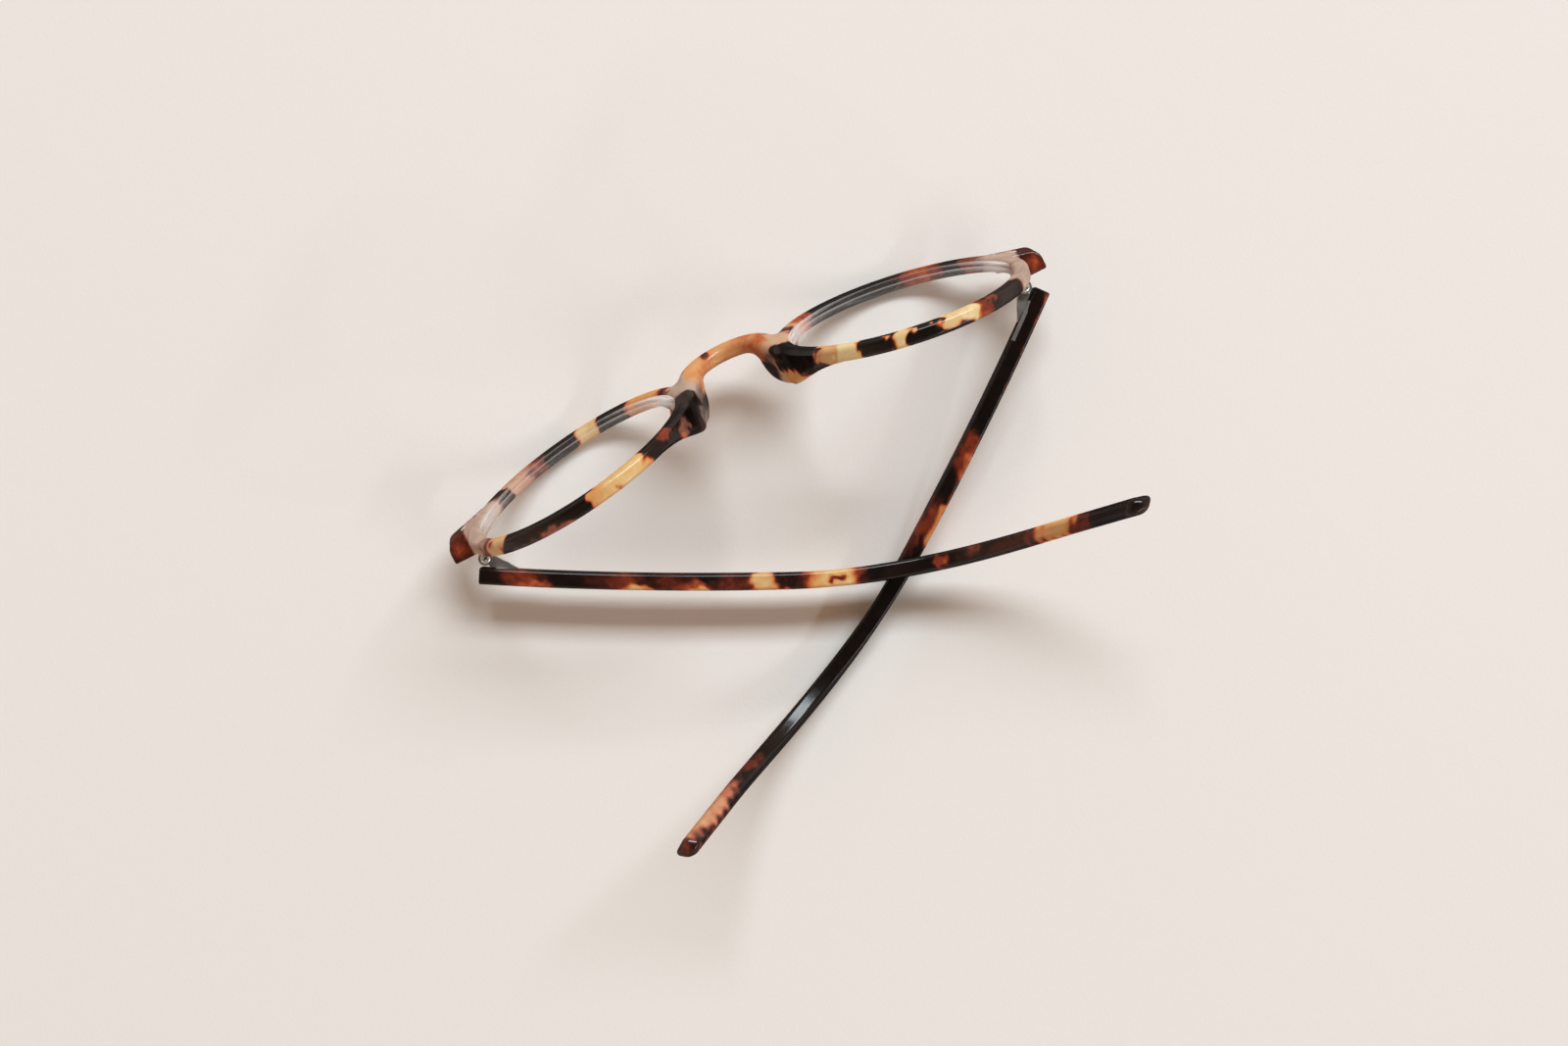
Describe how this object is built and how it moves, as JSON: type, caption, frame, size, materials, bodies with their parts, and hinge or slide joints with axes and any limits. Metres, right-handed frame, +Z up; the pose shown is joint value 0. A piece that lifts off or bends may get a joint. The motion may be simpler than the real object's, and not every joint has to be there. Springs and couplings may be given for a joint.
{
  "type": "folding reading glasses",
  "caption": "Round full-rim reading glasses in tortoiseshell acetate, lying upside down with the temples half folded and crossed; the temples open and fold on riveted hinges.",
  "frame": {"origin": "middle of the bridge's nose side, on the centre plane of the glasses", "axes": "+X to the wearer's right, -Y the way the lenses face, +Z up from the table; the glasses lie upside down on the top edge of the front"},
  "size_m": [0.131, 0.0862, 0.0495],
  "materials": {
    "tortoiseshell_acetate": "polished mottled acetate",
    "pad_acetate": "polished smoky translucent acetate",
    "lens_clear": "clear, coated",
    "nickel_silver": "satin nickel silver"
  },
  "bodies": {
    "front": {"front_frame": "tortoiseshell_acetate", "right_lens": "lens_clear", "left_lens": "lens_clear", "right_nose_pad": "pad_acetate", "left_nose_pad": "pad_acetate", "right_front_leaf": "nickel_silver", "left_front_leaf": "nickel_silver", "right_hinge_screw": "nickel_silver", "left_hinge_screw": "nickel_silver", "right_front_rivet_inner": "nickel_silver", "right_front_rivet_outer": "nickel_silver", "left_front_rivet_inner": "nickel_silver", "left_front_rivet_outer": "nickel_silver"},
    "right_arm": {"right_temple": "tortoiseshell_acetate", "right_temple_leaf": "nickel_silver", "right_temple_rivet_front": "nickel_silver", "right_temple_rivet_back": "nickel_silver"},
    "left_arm": {"left_temple": "tortoiseshell_acetate", "left_temple_leaf": "nickel_silver", "left_temple_rivet_front": "nickel_silver", "left_temple_rivet_back": "nickel_silver"}
  },
  "joints": [
    {"name": "right_fold", "type": "hinge", "parent": "front", "child": "right_arm", "pos_m": [0.05975, 0.01447, -0.00328], "axis": [0, -0.0837, -0.9965], "range_deg": [-20, 59.9]},
    {"name": "left_fold", "type": "hinge", "parent": "front", "child": "left_arm", "pos_m": [-0.05975, 0.01447, -0.00328], "axis": [0, 0.0837, 0.9965], "range_deg": [-16.9, 50.4]}
  ],
  "couplings": [
    {"joint": "left_fold", "follows": "right_fold", "ratio": 0.83973}
  ]
}
